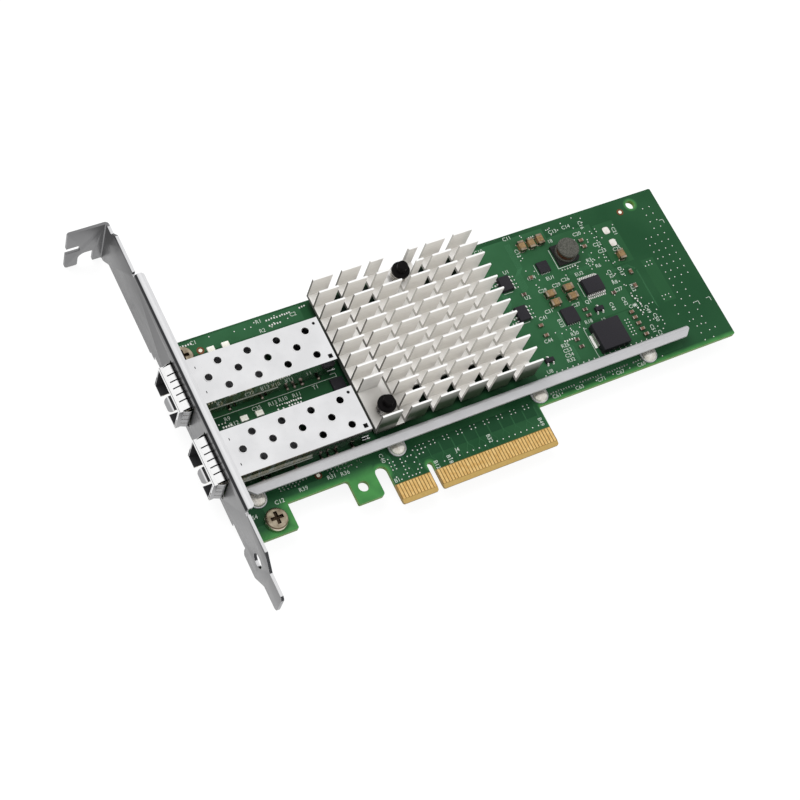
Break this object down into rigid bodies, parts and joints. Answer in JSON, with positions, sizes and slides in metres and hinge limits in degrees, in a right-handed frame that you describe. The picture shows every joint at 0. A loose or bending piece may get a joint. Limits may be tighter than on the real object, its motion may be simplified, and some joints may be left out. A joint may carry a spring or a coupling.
{
  "type": "network interface card",
  "caption": "Expansion card with an edge connector, a full-height slotted mounting bracket, two pluggable-module cages, a finned heatsink and a riveted stiffener bar.",
  "frame": {"origin": "centre of the edge connector's key slot, on the connector's lower edge, in the board's component face", "axes": "+X along the card away from the bracket, +Y from the edge connector to the opposite long edge, +Z out of the component face"},
  "size_m": [0.1808, 0.1201, 0.0221],
  "materials": {
    "board": "green solder mask, satin gloss",
    "gold": "gold plated",
    "bracket": "satin, nickel-plated sheet steel",
    "screw": "bright nickel plate",
    "cage": "pale satin nickel-plated sheet",
    "spring": "bright spring strip",
    "connector": "matte black moulding",
    "tin": "bright tin plate",
    "heatsink": "pale satin extrusion",
    "package": "matte moulded package",
    "pad": "soft grey gap pad",
    "pin": "satin black nylon",
    "bar": "satin light grey sheet",
    "rivet": "bright nickel plate",
    "capacitor": "tan sintered block",
    "resistor": "dark film over white block",
    "led": "milky lens",
    "ferrite": "dark matte ferrite",
    "winding": "enamelled copper wire"
  },
  "bodies": {
    "root": {"bracket": "bracket", "bracket_screws": "screw", "cage_base_a": "cage", "cage_base_b": "cage", "cage_cover_a": "cage", "cage_cover_b": "cage", "cage_spring_a": "spring", "cage_spring_b": "spring", "contacts_component_side": "gold", "contacts_solder_side": "gold", "controller_chip": "package", "drum_inductor_base": "package", "drum_inductor_core": "ferrite", "drum_inductor_winding": "winding", "heatsink": "heatsink", "host_connector_a": "connector", "host_connector_b": "connector", "host_contacts_a": "tin", "host_contacts_b": "tin", "interface_chip": "package", "interface_chip_leads": "tin", "large_capacitor_terminals": "tin", "large_capacitors": "capacitor", "memory_chip_leads": "tin", "memory_chips": "package", "moulded_inductor": "package", "moulded_inductor_terminals": "tin", "pcb": "board", "port_chip": "package", "power_controller": "package", "push_pin_springs": "spring", "push_pins": "pin", "regulator": "package", "resistor_terminals": "tin", "resistors": "resistor", "small_capacitor_terminals": "tin", "small_capacitors": "capacitor", "status_leds": "led", "stiffener_bar": "bar", "stiffener_rivets": "rivet", "thermal_pad": "pad", "transistor_leads": "tin", "transistors": "package"}
  },
  "joints": []
}
